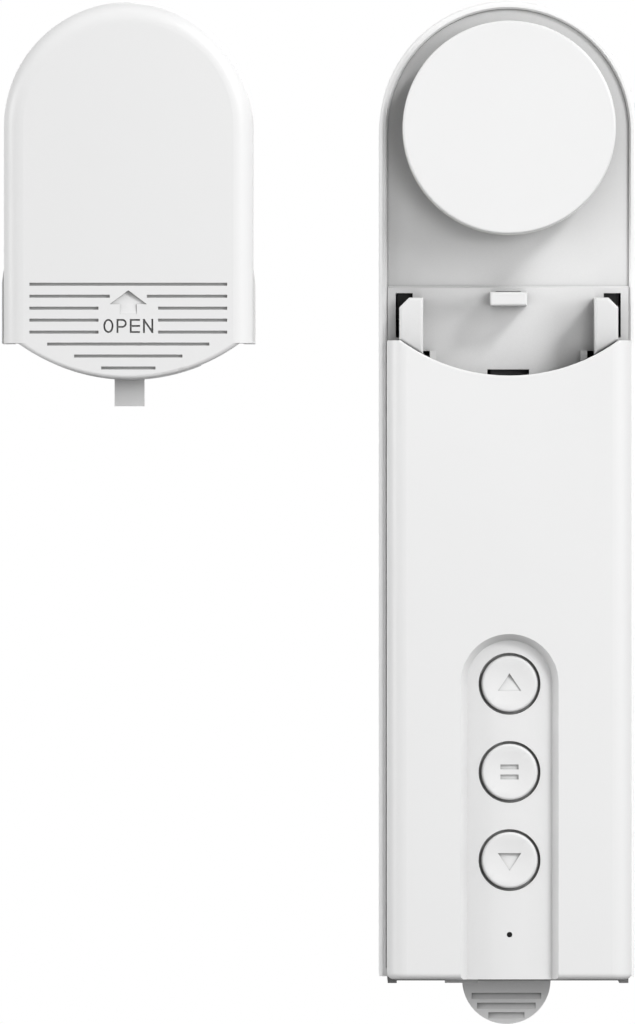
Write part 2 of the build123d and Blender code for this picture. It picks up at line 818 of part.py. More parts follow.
def worm_section():
    """Cross section of the two start worm: two lobes with straight flanks."""
    root_r = worm_pitch_r - 1.25 * module
    tip_r = worm_pitch_r + module
    slope = math.tan(math.radians(pressure_angle))
    pitch_half = math.pi * module / 4 - gear_backlash / 2
    tip_half = 2 * math.pi * (pitch_half - module * slope) / worm_lead
    root_half = 2 * math.pi * (pitch_half + 1.25 * module * slope) / worm_lead
    lobe = ((root_r, -root_half), (tip_r, -tip_half), (tip_r, tip_half), (root_r, root_half))
    points = []
    for start in range(worm_starts):
        middle = 2 * math.pi * start / worm_starts
        for radius, angle in lobe:
            points.append((radius * math.cos(middle + angle), radius * math.sin(middle + angle)))
    edges = []
    count = len(points)
    for index in range(count):
        first = points[index]
        second = points[(index + 1) % count]
        if index % 4 in (1, 3):
            radius = math.hypot(*first)
            middle = Vector(*first) + Vector(*second)
            middle = middle.normalized() * radius
            edges.append(ThreePointArc(first, (middle.X, middle.Y), second))
        else:
            edges.append(Line(first, second))
    return make_face(Wire(edges))


def make_worm():
    """The worm's section twisted along the shaft, with the thread in mesh with the wheel."""
    low_z = idler_z - worm_length / 2
    angle = 360 * worm_length / worm_lead
    mesh_turn = 270 - angle / 2
    face = (Plane.XY * Rot(0, 0, mesh_turn) * worm_section()).face()
    worm = Solid.extrude_linear_with_rotation(face, Vector(0, 0, 0), Vector(0, 0, worm_length), angle)
    worm = Pos(worm_axis_x, -worm_axis_depth, low_z) * worm
    bore = upright(worm_axis_x, worm_axis_depth, motor_shaft_r + running_gap, low_z, low_z + worm_length)
    return worm - bore


def make_motor_shaft():
    """Steel shaft from the motor through the worm."""
    high_z = idler_z + worm_length / 2 + shaft_overrun
    return upright(worm_axis_x, worm_axis_depth, motor_shaft_r, shaft_low_z, high_z)


def motor_section(trim):
    """Round can cut by two flats, smaller all round by trim."""
    flats = Rectangle(motor_width, motor_flat - 2 * trim)
    return Circle(motor_width / 2 - trim) & flats


def make_motor_can():
    """Flat sided steel can with a short nose round its shaft."""
    top_z = below(case_bottom_below) - seat_gap
    plane = Plane(origin=(worm_axis_x, -worm_axis_depth, top_z - motor_length), z_dir=(0, 0, 1))
    can = extrude(plane * motor_section(0), amount=motor_length)
    nose_z = top_z + motor_nose
    can += upright(worm_axis_x, worm_axis_depth, motor_nose_r, top_z - wall, nose_z)
    can -= upright(worm_axis_x, worm_axis_depth, motor_shaft_r + seat_gap, top_z - motor_length, nose_z)
    return can


def make_motor_end_bell():
    """Plastic end of the motor with its two terminals."""
    top_z = below(case_bottom_below) - seat_gap - motor_length - running_gap
    plane = Plane(origin=(worm_axis_x, -worm_axis_depth, top_z - motor_bell), z_dir=(0, 0, 1))
    bell = extrude(plane * motor_section(motor_bell_trim), amount=motor_bell)
    bore_low = shaft_low_z - shaft_end_gap
    bell -= upright(worm_axis_x, worm_axis_depth, motor_shaft_r + seat_gap, bore_low, top_z)
    return bell


def case_inside(inset):
    """Outline of the gearbox case, moved in by inset."""
    return arch(case_half_width - inset, below(case_bottom_below) + inset)


def make_gearbox_case():
    """Moulded case with seats for the output shaft, the idler pin and the worm."""
    case = slab(case_inside(0), case_back, case_front - wall)
    case -= slab(case_inside(wall), case_back + wall, case_front)
    case += rod(0, wheel_axis_z, bush_r + wall, case_back, case_back + 2 * wall)
    case -= rod(0, wheel_axis_z, bush_r, case_back, case_back + 2 * wall)
    seat_front = worm_axis_depth - worm_wheel_width / 2 - seat_gap
    case += rod(idler_x, idler_z, idler_pin_r + wall, case_back, seat_front)
    case -= rod(idler_x, idler_z, idler_pin_r + running_gap, case_back, case_front)
    bottom_z = below(case_bottom_below)
    case -= upright(worm_axis_x, worm_axis_depth, motor_nose_r + seat_gap, bottom_z, bottom_z + 2 * wall)
    for x, z in gearbox_screw_places():
        case += rod(x, z, lid_boss_r, case_front - wall - lid_screw_length - wall, case_front - wall)
        case -= rod(x, z, lid_screw_r, case_front - wall - lid_screw_length, case_front)
    return case


def gearbox_screw_places():
    """Centres of the four lid screws, two outside the large gear and two in the low corners."""
    high_r = module * (output_teeth / 2 + 1) + moving_gap + lid_boss_r
    low_x = case_half_width - lid_boss_r
    low_z = below(case_bottom_below) + lid_boss_r
    high = [(high_r * math.cos(a), wheel_axis_z + high_r * math.sin(a))
            for a in (math.radians(45), math.radians(135))]
    return high + [(low_x, low_z), (-low_x, low_z)]


def make_gearbox_lid():
    """Flat lid of the gearbox, under the deck."""
    back = case_front - wall + running_gap
    lid = slab(case_inside(0), back, case_front)
    for x, z in gearbox_screw_places():
        lid += rod(x, z, lid_boss_r, back, case_front)
    lid -= rod(0, wheel_axis_z, bush_r, back, case_front)
    lid -= rod(idler_x, idler_z, idler_pin_r + running_gap, back, case_front)
    for x, z in gearbox_screw_places():
        lid -= rod(x, z, lid_screw_r + seat_gap, back, case_front)
    return lid


def make_gearbox_screws():
    """Four short screws, sunk flush with the lid."""
    back = case_front - wall - lid_screw_length + seat_gap
    group = [rod(x, z, lid_screw_r - running_gap, back, case_front - running_gap)
             for x, z in gearbox_screw_places()]
    return Compound(children=group)


def make_output_shaft():
    """Steel shaft from the gearbox to the chain wheel."""
    return rod(0, wheel_axis_z, output_shaft_r, case_back + shaft_end_gap, hub_seat)


def make_chain_sprocket():
    """Wheel with two flanges and a ring of round pockets for the beads."""
    front = wheel_front - cap_thickness
    wheel = rod(0, wheel_axis_z, wheel_r, wheel_back, wheel_back + rear_flange)
    groove_back = wheel_back + rear_flange
    groove_front = groove_back + groove_width
    wheel += rod(0, wheel_axis_z, hub_r, groove_back, groove_front)
    wheel += rod(0, wheel_axis_z, wheel_r, groove_front, front)
    for index in range(bead_count):
        angle = 2 * math.pi * (index + 0.5) / bead_count
        centre = (bead_ring_r * math.cos(angle), -(groove_back + groove_width / 2),
                  wheel_axis_z + bead_ring_r * math.sin(angle))
        wheel -= Pos(*centre) * Sphere(bead_r + bead_clearance)
    wheel -= rod(0, wheel_axis_z, output_shaft_r + hub_bore_play, wheel_back, front)
    wheel -= rod(0, wheel_axis_z, hub_head_r + 2 * seat_gap, hub_seat, front)
    return wheel


def make_sprocket_cap():
    """Plain disc that covers the front of the chain wheel."""
    back = wheel_front - cap_thickness + running_gap
    cap = rod(0, wheel_axis_z, wheel_r, back, wheel_front)
    return fillet(front_edges(cap, wheel_front), wheel_edge_round)


def make_hub_screw():
    """Screw with a wide head that holds the wheel on its shaft."""
    back = hub_seat + running_gap
    return rod(0, wheel_axis_z, hub_head_r, back, back + hub_head)


def make_idler_pin():
    """Steel pin that the worm wheel and pinion turn on."""
    return rod(idler_x, idler_z, idler_pin_r, case_back + moving_gap, case_front - seat_gap)


def make_case_screws():
    """Two long screws from the back that pull the two case halves together."""
    group = []
    head_front = pocket_depth + screw_head - seat_gap
    for side in (-1, 1):
        x = side * case_screw_x
        z = below(case_screw_below)
        screw = rod(x, z, screw_head_r, pocket_depth, head_front)
        group.append(screw + rod(x, z, screw_r - running_gap, head_front, ledge_depth + 3 * wall))
    return Compound(children=group)


def cover_outline(inset):
    """Chain cover seen from the front, with every wall moved in by inset."""
    half = front_half_width - inset
    top = arch(half, below(shoulder_below) + cover_arc_gap + inset)
    chord = math.sqrt(arc_radius**2 - (arc_centre_z - below(shoulder_below))**2)
    low_z = below(arc_lowest_below)
    window = Pos(0, (wheel_axis_z + low_z) / 2) * Rectangle(2 * (chord - inset), wheel_axis_z - low_z)
    belly = (Pos(0, arc_centre_z) * Circle(arc_radius - cover_arc_gap - inset)) & window
    return top + belly


def cover_form(inset):
    """Solid of the cover's shape with its rounded edges, sharp inside along the foot."""
    front = body_depth - inset
    form = slab(cover_outline(inset), rim_depth + seat_gap, front)
    if cover_edge_round > inset:
        belly = front_edges(form, front).filter_by(GeomType.CIRCLE).sort_by(Axis.Z)[:1]
        form = fillet(belly, cover_edge_round - inset)
    upper = front_edges(form, front).filter_by(
        lambda e: e.bounding_box().max.Z > below(shoulder_below) + wall)
    return fillet(upper, side_round - inset)


def make_chain_cover():
    """Cover in its closed place, before it is moved aside."""
    cover = cover_form(0)
    cover += both_sides(make_cover_pad())
    cover -= cover_form(wall)
    cover -= both_sides(make_foot_opening())
    cover += make_cover_tongue()
    cover += both_sides(make_cover_lug())
    notch_x = bead_ring_r - chain_notch_width / 2
    notch_z = (wheel_axis_z, wheel_axis_z + body_half)
    notch_front = rim_depth + chain_notch_depth
    cover -= both_sides(block((notch_x, notch_x + chain_notch_width), notch_z, rim_depth, notch_front))
    for row in range(grip_count):
        groove_below = grip_lowest_below - row * grip_pitch
        half = min(grip_full_half, grip_first_half + grip_half_step * row)
        z_range = (below(groove_below) - grip_height / 2, below(groove_below) + grip_height / 2)
        for x_range in grip_spans(groove_below, half):
            cover -= block(x_range, z_range, body_depth - grip_depth, body_depth)
    return cover


def make_foot_opening():
    """Way for one block and one post of the deck through the foot of the cover."""
    x_range = (nub_x - nub_width / 2 - moving_gap, front_half_width - wall)
    z_range = (below(arc_lowest_below), below(step_below))
    return block(x_range, z_range, rim_depth, rim_depth + block_height + cover_foot_play)


def grip_spans(groove_below, half):
    """Left and right ends of the grooves in one row, which leave the cover's sign clear."""
    for top_below, low_below, clear in sign_spaces:
        if top_below < groove_below < low_below:
            return [(-half, -clear), (clear, half)]
    return [(-half, half)]


def make_cover_pad():
    """Thin pad on the side of the cover for finger grip."""
    x = front_half_width
    top_z = below(cover_pad_top_below)
    low_z = below(shoulder_below) + cover_arc_gap
    points = [(x - wall / 2, top_z), (x, top_z), (x + cover_pad, top_z - cover_pad_taper),
              (x + cover_pad, low_z), (x - wall / 2, low_z)]
    return slab(make_face(Polyline(*points, close=True)), rim_depth + seat_gap, body_depth - side_round)


def make_cover_tongue():
    """Tongue at the foot of the cover that goes into the slot of the front shell."""
    back = rim_depth + seat_gap
    front = back + cover_tongue_thickness
    low_z = below(arc_lowest_below) - cover_tongue_length
    high_z = below(arc_lowest_below) + cover_arc_gap + wall + cover_tongue_root
    return block((-cover_tongue_half_width, cover_tongue_half_width), (low_z, high_z), back, front)


def make_cover_lug():
    """Hook shaped lug that drops into the slot of the deck and slides down."""
    outer = slot_outer - running_gap
    neck_inner = slot_outer - slot_narrow + running_gap
    low_z = below(slot_bottom_below) + seat_gap
    head_front = deck_front - slot_lip - seat_gap
    head_back = deck_back + lug_back_gap
    head_inner = slot_outer - slot_wide + seat_gap
    z_range = (low_z, low_z + lug_height)
    neck = block((neck_inner, outer), z_range, head_back, rim_depth + lug_root)
    return neck + block((head_inner, outer), z_range, head_back, head_front)


def export_all():
    """Build every piece and write one file for each."""
    pieces = {
        "wall_bracket": make_wall_bracket(),
        "release_lever": make_release_lever(),
        "lever_pin": lever_pin_bore(lever_pin_r),
        "rear_housing": make_rear_housing(),
        "deck_plate": make_deck_plate(),
        "front_shell": make_front_shell(),
        "port_flap": make_port_flap(),
        "tact_switches": make_tact_switches(),
        "main_board": make_main_board(),
        "usb_port": make_usb_port(),
        "radio_module": make_radio_module(),
        "status_led": make_status_led(),
        "led_lens": make_led_lens(),
        "battery_cell_left": make_cell(-cell_centre_x),
        "battery_cell_right": make_cell(cell_centre_x),
        "battery_tray": make_battery_tray(),
        "battery_tabs": make_battery_tabs(),
        "motor_can": make_motor_can(),
        "motor_end_bell": make_motor_end_bell(),
        "motor_shaft": make_motor_shaft(),
        "worm": make_worm(),
        "gearbox_case": make_gearbox_case(),
        "gearbox_lid": make_gearbox_lid(),
        "gearbox_screws": make_gearbox_screws(),
        "worm_wheel": make_worm_wheel(),
        "idler_pinion": make_idler_pinion(),
        "idler_pin": make_idler_pin(),
        "output_gear": make_output_gear(),
        "output_shaft": make_output_shaft(),
        "rear_bush": make_rear_bush(),
        "front_bush": make_front_bush(),
        "chain_sprocket": make_chain_sprocket(),
        "sprocket_cap": make_sprocket_cap(),
        "hub_screw": make_hub_screw(),
        "case_screws": make_case_screws(),
        "chain_cover": Pos(cover_park_x, -cover_park_depth, -cover_park_drop) * make_chain_cover(),
    }
    for name, distance in zip(button_names, button_below):
        pieces[name] = make_button(distance)
    os.makedirs("parts", exist_ok=True)
    for name, shape in pieces.items():
        export_step(shape, f"parts/{name}.step")
        print(name)


export_all()
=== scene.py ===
import json
import math

import bmesh
import bpy
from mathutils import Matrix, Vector


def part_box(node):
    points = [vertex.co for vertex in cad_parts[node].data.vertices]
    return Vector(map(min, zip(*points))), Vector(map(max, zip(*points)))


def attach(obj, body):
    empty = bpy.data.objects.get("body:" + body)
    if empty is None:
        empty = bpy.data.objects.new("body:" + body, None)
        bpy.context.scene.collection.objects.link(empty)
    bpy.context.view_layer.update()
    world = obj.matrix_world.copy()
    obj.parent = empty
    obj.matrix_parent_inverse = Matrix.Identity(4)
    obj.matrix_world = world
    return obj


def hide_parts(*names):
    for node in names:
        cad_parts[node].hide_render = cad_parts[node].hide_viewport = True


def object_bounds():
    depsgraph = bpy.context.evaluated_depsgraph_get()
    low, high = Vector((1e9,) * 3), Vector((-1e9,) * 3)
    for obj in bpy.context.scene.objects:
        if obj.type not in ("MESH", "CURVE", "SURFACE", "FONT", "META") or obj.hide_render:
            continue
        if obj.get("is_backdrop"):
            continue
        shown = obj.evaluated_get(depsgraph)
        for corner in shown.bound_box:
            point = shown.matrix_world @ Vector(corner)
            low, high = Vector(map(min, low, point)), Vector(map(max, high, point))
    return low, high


# A roller blind chain motor on its wall bracket, with its chain cover taken off and
# held to the left. Metres, in the frame of the CAD model: +Z is up, the front faces -Y
# and the wall is the plane y = 0.

# Photograph: its size and the body in it, in pixels, and the plane where they are to scale
BODY_WIDTH = 0.040
BODY_PIXELS = 258.6
PIXEL = BODY_WIDTH / BODY_PIXELS
IMAGE_WIDTH = 635
IMAGE_HEIGHT = 1024
BODY_CENTRE_PIXEL = (509, 128)
PICTURE_PLANE = -0.040
CAMERA_DISTANCE = 2.45
SENSOR_MM = 36
CAMERA_REACH = 100

# Studio
FLOOR_GAP = 0.020
FLOOR_RADIUS = 0.5
FLOOR_SIDES = 96
FLOOR_COLOUR = (0.30, 0.30, 0.30)
FLOOR_ROUGHNESS = 0.9
FLOOR_LIFT = 0.92
WORLD_LIGHT = 0.15
LAMP_DISTANCE = 1.35

# Lamps: degrees round to the right and up as seen from the front, size in metres and power
LAMPS = {
    "key": (43, 37, 0.25, 9.0),
    "side": (45, 14, 0.50, 5.4),
    "fill": (-80, 8, 0.60, 10.0),
    "low": (12, 2, 0.30, 3.2),
    "top": (0, 75, 0.60, 1.4),
    "back": (160, 25, 0.90, 9.0),
}

# Marks sunk into the keys: widths, heights and depths, from the low point of a key's dish
KEY_DISH = 0.00026
MARK_DEPTH = KEY_DISH + 0.00042
MARK_LOW_DEPTH = KEY_DISH + 0.00008
PAUSE_DEPTH = KEY_DISH + 0.00030
KEY_MARK_WIDTH = 0.0036
KEY_MARK_SHIFT = 0.00028
KEY_MARK_HEIGHT = 0.0027
PAUSE_BAR_WIDTH = 0.0028
PAUSE_BAR_HEIGHT = 0.00075
PAUSE_BAR_PITCH = 0.00155

# Arrow and word sunk into the chain cover, measured down from the centre of its arch
ARCH_RAISE = 0.0003
ARROW_TOP_BELOW = 0.02476
ARROW_WIDTH = 0.00562
ARROW_HEAD_HEIGHT = 0.0021
ARROW_STEM_WIDTH = 0.00255
ARROW_HEIGHT = 0.0036
ARROW_DEPTH = 0.0006
ARROW_LOW_DEPTH = 0.00005
WORD_TOP_BELOW = 0.0291
WORD_HEIGHT = 0.0021
WORD_STROKE = 0.00027
WORD_DEPTH = 0.0010
LETTER_WIDTH = 0.00153
LETTER_PITCH = 0.0020
BEND_STEPS = 16

# Painted shade: the colour of the pale plastic is darkened in its gaps and corners. How far it
# reaches from what is near, and how much of the colour is left where it is deepest
PAINTED_SHADE_REACH = {
    "white_shell": 0.005,
    "deck_painted_shade": 0.010,
    "feet_painted_shade": 0.010,
    "white_keys": 0.005,
    "white_disc": 0.005,
    "grey_lever": 0.005,
}
PAINTED_SHADE_DEEPEST = 0.28
PAINTED_SHADE_SAMPLES = 8

# Rounded front edge of the rear housing: its radius, the cutter's overlap with the face and
# its reach beyond the housing, and the height of the feet, which are painted dark as shade
RIM_ROUND = 0.0007
RIM_STEPS = 6
RIM_SPARE = 0.00002
RIM_REACH = 0.002
ARC_STEPS = 96
FOOT_HEIGHT = 0.00105
WELD_REACH = 0.000001
SHARP_ANGLE = 30

# Shine of the dark lens, against 0.5 for plain plastic
LENS_SHINE = 0.15

# Size of the drifts in colour and of the smears in gloss, how much the gloss varies, and
# how strongly the grain shows
DRIFT_SIZE = 0.035
SMEAR_SIZE = 0.009
GLOSS_CHANGE = 0.12
GRAIN_STRENGTH = 0.6

# Finish of each material slot, and those of the deck (a darker copy of the white finish, as
# painted shade), the rear housing (a lighter copy, as painted light) and its feet (dark, as
# painted shade): colour, metallic, roughness, size and height of the fine moulded or machined
# grain, and how much the colour drifts over the surface
FINISHES = {
    "white_shell": ((0.82, 0.82, 0.82), 0, 0.42, 0.00014, 0.0000022, 0.012),
    # the same white plastic made darker: painted shade in the recess
    "deck_painted_shade": ((0.765, 0.765, 0.765), 0, 0.42, 0.00014, 0.0000022, 0.012),
    # the same white plastic made lighter: painted light on the rim
    "housing_painted_light": ((0.87, 0.87, 0.87), 0, 0.42, 0.00014, 0.0000022, 0.012),
    # the housing's own plastic made dark at its feet: painted shade under the body
    "feet_painted_shade": ((0.30, 0.30, 0.30), 0, 0.60, 0.00014, 0.0000030, 0.020),
    "white_keys": ((0.83, 0.83, 0.83), 0, 0.46, 0.00011, 0.0000016, 0.010),
    "white_disc": ((0.82, 0.82, 0.82), 0, 0.40, 0.00012, 0.0000018, 0.010),
    "grey_lever": ((0.92, 0.92, 0.92), 0, 0.45, 0.00016, 0.0000025, 0.020),
    "pom_white": ((0.78, 0.78, 0.76), 0, 0.35, 0.00020, 0.0000020, 0.020),
    # near black: a colour the moulding can have, and also chosen so that the slots in the deck
    # show dark, as painted shade
    "black_moulding": ((0.015, 0.015, 0.016), 0, 0.60, 0.00020, 0.0000030, 0.030),
    "steel": ((0.55, 0.55, 0.56), 1, 0.30, 0.00012, 0.0000015, 0.050),
    "bronze": ((0.56, 0.38, 0.19), 1, 0.42, 0.00025, 0.0000040, 0.080),
    # near black: a black plated can, and also chosen so that it shows dark through the slots, as
    # painted shade
    "motor_steel": ((0.05, 0.05, 0.052), 1, 0.45, 0.00020, 0.0000030, 0.050),
    "motor_black": ((0.03, 0.03, 0.03), 0, 0.45, 0.00020, 0.0000030, 0.040),
    "cell_sleeve": ((0.05, 0.22, 0.42), 0, 0.30, 0.00060, 0.0000060, 0.060),
    "nickel": ((0.60, 0.57, 0.50), 1, 0.28, 0.00030, 0.0000020, 0.050),
    "board_green": ((0.02, 0.16, 0.07), 0, 0.35, 0.00040, 0.0000080, 0.080),
    "switch_black": ((0.03, 0.03, 0.03), 0, 0.50, 0.00020, 0.0000030, 0.040),
    "lamp_white": ((0.85, 0.85, 0.80), 0, 0.30, 0.00020, 0.0000010, 0.010),
    "smoked_lens": ((0.005, 0.005, 0.005), 0, 0.50, 0.00020, 0.0000005, 0.010),
    "white_rubber": ((0.56, 0.56, 0.56), 0, 0.70, 0.00012, 0.0000030, 0.020),
}


def make_finish(name):
    """Procedural material of one finish, with drifting colour, uneven gloss, fine grain and, for
    some finishes, painted shade in gaps and corners.
    """
    colour, metallic, roughness, grain, relief, drift = FINISHES[name]
    material = bpy.data.materials.new(name)
    material.use_nodes = True
    nodes = material.node_tree.nodes
    links = material.node_tree.links
    shader = nodes["Principled BSDF"]
    shader.inputs["Metallic"].default_value = metallic
    if name == "smoked_lens":
        shader.inputs["Specular IOR Level"].default_value = LENS_SHINE
    place = nodes.new("ShaderNodeTexCoord").outputs["Object"]

    clouds = add_noise(nodes, links, place, 1 / DRIFT_SIZE, 3)
    tint = nodes.new("ShaderNodeMapRange")
    tint.inputs["To Min"].default_value = 1 - drift
    tint.inputs["To Max"].default_value = 1 + drift
    links.new(clouds, tint.inputs["Value"])
    paint = nodes.new("ShaderNodeVectorMath")
    paint.operation = "SCALE"
    paint.inputs[0].default_value = colour
    strength = tint.outputs["Result"]
    # painted shade: the colour is darkened in gaps and corners
    if name in PAINTED_SHADE_REACH:
        strength = add_painted_shade(nodes, links, strength, PAINTED_SHADE_REACH[name])
    links.new(strength, paint.inputs["Scale"])
    links.new(paint.outputs["Vector"], shader.inputs["Base Color"])

    smears = add_noise(nodes, links, place, 1 / SMEAR_SIZE, 4)
    gloss = nodes.new("ShaderNodeMapRange")
    gloss.inputs["To Min"].default_value = roughness * (1 - GLOSS_CHANGE)
    gloss.inputs["To Max"].default_value = roughness * (1 + GLOSS_CHANGE)
    links.new(smears, gloss.inputs["Value"])
    links.new(gloss.outputs["Result"], shader.inputs["Roughness"])

    pits = add_noise(nodes, links, place, 1 / grain, 2)
    bump = nodes.new("ShaderNodeBump")
    bump.inputs["Strength"].default_value = GRAIN_STRENGTH
    bump.inputs["Distance"].default_value = relief
    links.new(pits, bump.inputs["Height"])
    links.new(bump.outputs["Normal"], shader.inputs["Normal"])
    return material


def add_noise(nodes, links, place, scale, detail):
    """Noise texture at this many features per metre; returns its value output."""
    noise = nodes.new("ShaderNodeTexNoise")
    noise.inputs["Scale"].default_value = scale
    noise.inputs["Detail"].default_value = detail
    links.new(place, noise.inputs["Vector"])
    return noise.outputs["Fac"]


def add_painted_shade(nodes, links, strength, reach):
    """Darken a colour in gaps and corners as painted shade; returns the new strength."""
    nearby = nodes.new("ShaderNodeAmbientOcclusion")
    nearby.samples = PAINTED_SHADE_SAMPLES
    nearby.inputs["Distance"].default_value = reach
    openness = nodes.new("ShaderNodeMapRange")
    openness.inputs["To Min"].default_value = PAINTED_SHADE_DEEPEST
    openness.inputs["To Max"].default_value = 1
    links.new(nearby.outputs["AO"], openness.inputs["Value"])
    weaken = nodes.new("ShaderNodeMath")
    weaken.operation = "MULTIPLY"
    links.new(strength, weaken.inputs[0])
    links.new(openness.outputs["Result"], weaken.inputs[1])
    return weaken.outputs["Value"]


def dress_nodes(frame, finishes):
    """Give every CAD node the finish of its slot, and the deck plate a darker copy of the white
    finish as painted shade.
    """
    for part in frame["record"]["subparts"]:
        node = frame["nodes"][part["node"]]
        node.data.materials.clear()
        # the deck plate takes the darker copy of the white finish: painted shade
        name = "deck_painted_shade" if part["node"] == "deck_plate" else part["material_slot"]
        node.data.materials.append(finishes[name])


def prism(outline, back, front, back_at_foot=None):
    """Closed solid from an outline of (x, z) points, between two values of y.

    With back_at_foot its back slopes, from back at the top to back_at_foot at the foot.
    """
    foot = min(z for x, z in outline)
    height = max(z for x, z in outline) - foot
    slope = 0 if back_at_foot is None else (back - back_at_foot) / height
    solid = bmesh.new()
    low = [solid.verts.new((x, front, z)) for x, z in outline]
    high = [solid.verts.new((x, back - slope * (foot + height - z), z)) for x, z in outline]
    solid.faces.new(low)
    solid.faces.new(reversed(high))
    count = len(outline)
    for index in range(count):
        other = (index + 1) % count
        solid.faces.new((low[other], low[index], high[index], high[other]))
    bmesh.ops.recalc_face_normals(solid, faces=solid.faces)
    return as_cutter(solid)


def as_cutter(solid):
    """Object made of a bmesh, for use in a cut."""
    mesh = bpy.data.meshes.new("cutter")
    solid.to_mesh(mesh)
    solid.free()
    cutter = bpy.data.objects.new("cutter", mesh)
    bpy.context.collection.objects.link(cutter)
    return cutter


def stroke(start, end, width, back, front):
    """Straight stroke of a letter, from one (x, z) point to another."""
    along = (Vector(end) - Vector(start)).normalized() * (width / 2)
    side = Vector((-along.y, along.x))
    first = Vector(start) - along
    last = Vector(end) + along
    return prism([first - side, last - side, last + side, first + side], back, front)


def bend(centre, radius, first, last, width, back, front):
    """Curved stroke of a letter about a centre; radius is (across, up), angles are in degrees."""
    outer = []
    inner = []
    for index in range(BEND_STEPS + 1):
        angle = math.radians(first + (last - first) * index / BEND_STEPS)
        turn = Vector((math.cos(angle), math.sin(angle)))
        wide = Vector((turn.x * (radius[0] + width / 2), turn.y * (radius[1] + width / 2)))
        narrow = Vector((turn.x * (radius[0] - width / 2), turn.y * (radius[1] - width / 2)))
        outer.append(Vector(centre) + wide)
        inner.append(Vector(centre) + narrow)
    return prism(outer + inner[::-1], back, front)


def weld(mesh):
    """Join the doubled points of a mesh along its edges, and drop the normals it came with."""
    solid = bmesh.new()
    solid.from_mesh(mesh)
    bmesh.ops.remove_doubles(solid, verts=solid.verts, dist=WELD_REACH)
    solid.to_mesh(mesh)
    solid.free()
    mesh.attributes.remove(mesh.attributes["custom_normal"])


def reworked(frame, node_name, slot, cutters, finishes, welded=False):
    """Copy of a CAD node cut by the cutters, which then stands for the node; returns it."""
    node = frame["nodes"][node_name]
    copy = bpy.data.objects.new(node_name + "_finished", node.data.copy())
    if welded:
        weld(copy.data)
    bpy.context.collection.objects.link(copy)
    for cutter in cutters:
        cut = copy.modifiers.new("cut", "BOOLEAN")
        cut.operation = "DIFFERENCE"
        cut.solver = "EXACT"
        cut.object = cutter
    bpy.context.view_layer.update()
    graph = bpy.context.evaluated_depsgraph_get()
    mesh = bpy.data.meshes.new_from_object(copy.evaluated_get(graph))
    copy.modifiers.clear()
    if welded:
        mesh.set_sharp_from_angle(angle=math.radians(SHARP_ANGLE))
    copy.data = mesh
    for cutter in cutters:
        bpy.data.objects.remove(cutter)
    mesh.materials.clear()
    mesh.materials.append(finishes[slot])
    mesh.name = copy.name
    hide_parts(node_name)
    bodies = frame["record"]["behaviour"]["bodies"]
    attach(copy, next(body for body, members in bodies.items() if node_name in members))
    return copy


def round_rim(frame, finishes):
    """Round the outer front edge of the rear housing, and give it a lighter copy of the white
    finish as painted light, with its feet painted dark as shade.
    """
    low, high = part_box("rear_housing")
    half = (high.x - low.x) / 2
    axis_z = high.z - half
    foot = low.z - RIM_REACH
    profile = [(RIM_REACH, low.y + RIM_ROUND)]
    for step in range(RIM_STEPS):
        angle = math.radians(90 * step / RIM_STEPS)
        inset = RIM_ROUND * (1 - math.cos(angle))
        profile.append((RIM_SPARE - inset, low.y + RIM_ROUND * (1 - math.sin(angle))))
    profile.append((RIM_SPARE - RIM_ROUND, low.y - RIM_REACH))
    profile.append((RIM_REACH, low.y - RIM_REACH))
    solid = bmesh.new()
    loops = [[solid.verts.new((half + spare, y, foot)) for spare, y in profile]]
    for step in range(ARC_STEPS + 1):
        turn = math.pi * step / ARC_STEPS
        across = math.cos(turn)
        up = math.sin(turn)
        loops.append([solid.verts.new(((half + spare) * across, y, axis_z + (half + spare) * up))
                      for spare, y in profile])
    loops.append([solid.verts.new((-half - spare, y, foot)) for spare, y in profile])
    count = len(profile)
    for first, second in zip(loops, loops[1:]):
        for index in range(count):
            other = (index + 1) % count
            face = solid.faces.new((first[index], first[other], second[other], second[index]))
            face.smooth = True
    solid.faces.new(loops[0])
    solid.faces.new(reversed(loops[-1]))
    bmesh.ops.recalc_face_normals(solid, faces=solid.faces)
    cutters = [as_cutter(solid)]
    housing = reworked(frame, "rear_housing", "white_shell", cutters, finishes, welded=True)
    # a lighter copy of the white finish as painted light, and a dark finish for the feet as
    # painted shade
    housing.data.materials.clear()
    housing.data.materials.append(finishes["housing_painted_light"])
    housing.data.materials.append(finishes["feet_painted_shade"])
    # faces at the foot take the dark finish: painted shade under the body
    for face in housing.data.polygons:
        face.material_index = int(face.center.z < low.z + FOOT_HEIGHT)


def mark_buttons(frame, finishes):
    """Sink an arrow up, a pause sign and an arrow down into the three keys."""
    half = KEY_MARK_WIDTH / 2
    rise = KEY_MARK_HEIGHT / 2
    for name in ("up_button", "pause_button", "down_button"):
        low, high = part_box(name)
        z = (low.z + high.z) / 2
        front = low.y - MARK_DEPTH
        if name == "pause_button":
            cutters = []
            for side in (-1, 1):
                middle = z + side * PAUSE_BAR_PITCH / 2
                bottom = middle - PAUSE_BAR_HEIGHT / 2
                top = middle + PAUSE_BAR_HEIGHT / 2
                wide = PAUSE_BAR_WIDTH / 2
                bar = [(-wide, bottom), (wide, bottom), (wide, top), (-wide, top)]
                cutters.append(prism(bar, low.y + PAUSE_DEPTH, front))
        else:
            way = 1 if name == "up_button" else -1
            base = z + way * (KEY_MARK_SHIFT - rise)
            tip = z + way * (KEY_MARK_SHIFT + rise)
            arrow = [(-half, base), (half, base), (0, tip)]
            cutters = [prism(arrow, low.y + MARK_DEPTH, front, low.y + MARK_LOW_DEPTH)]
        reworked(frame, name, "white_keys", cutters, finishes)


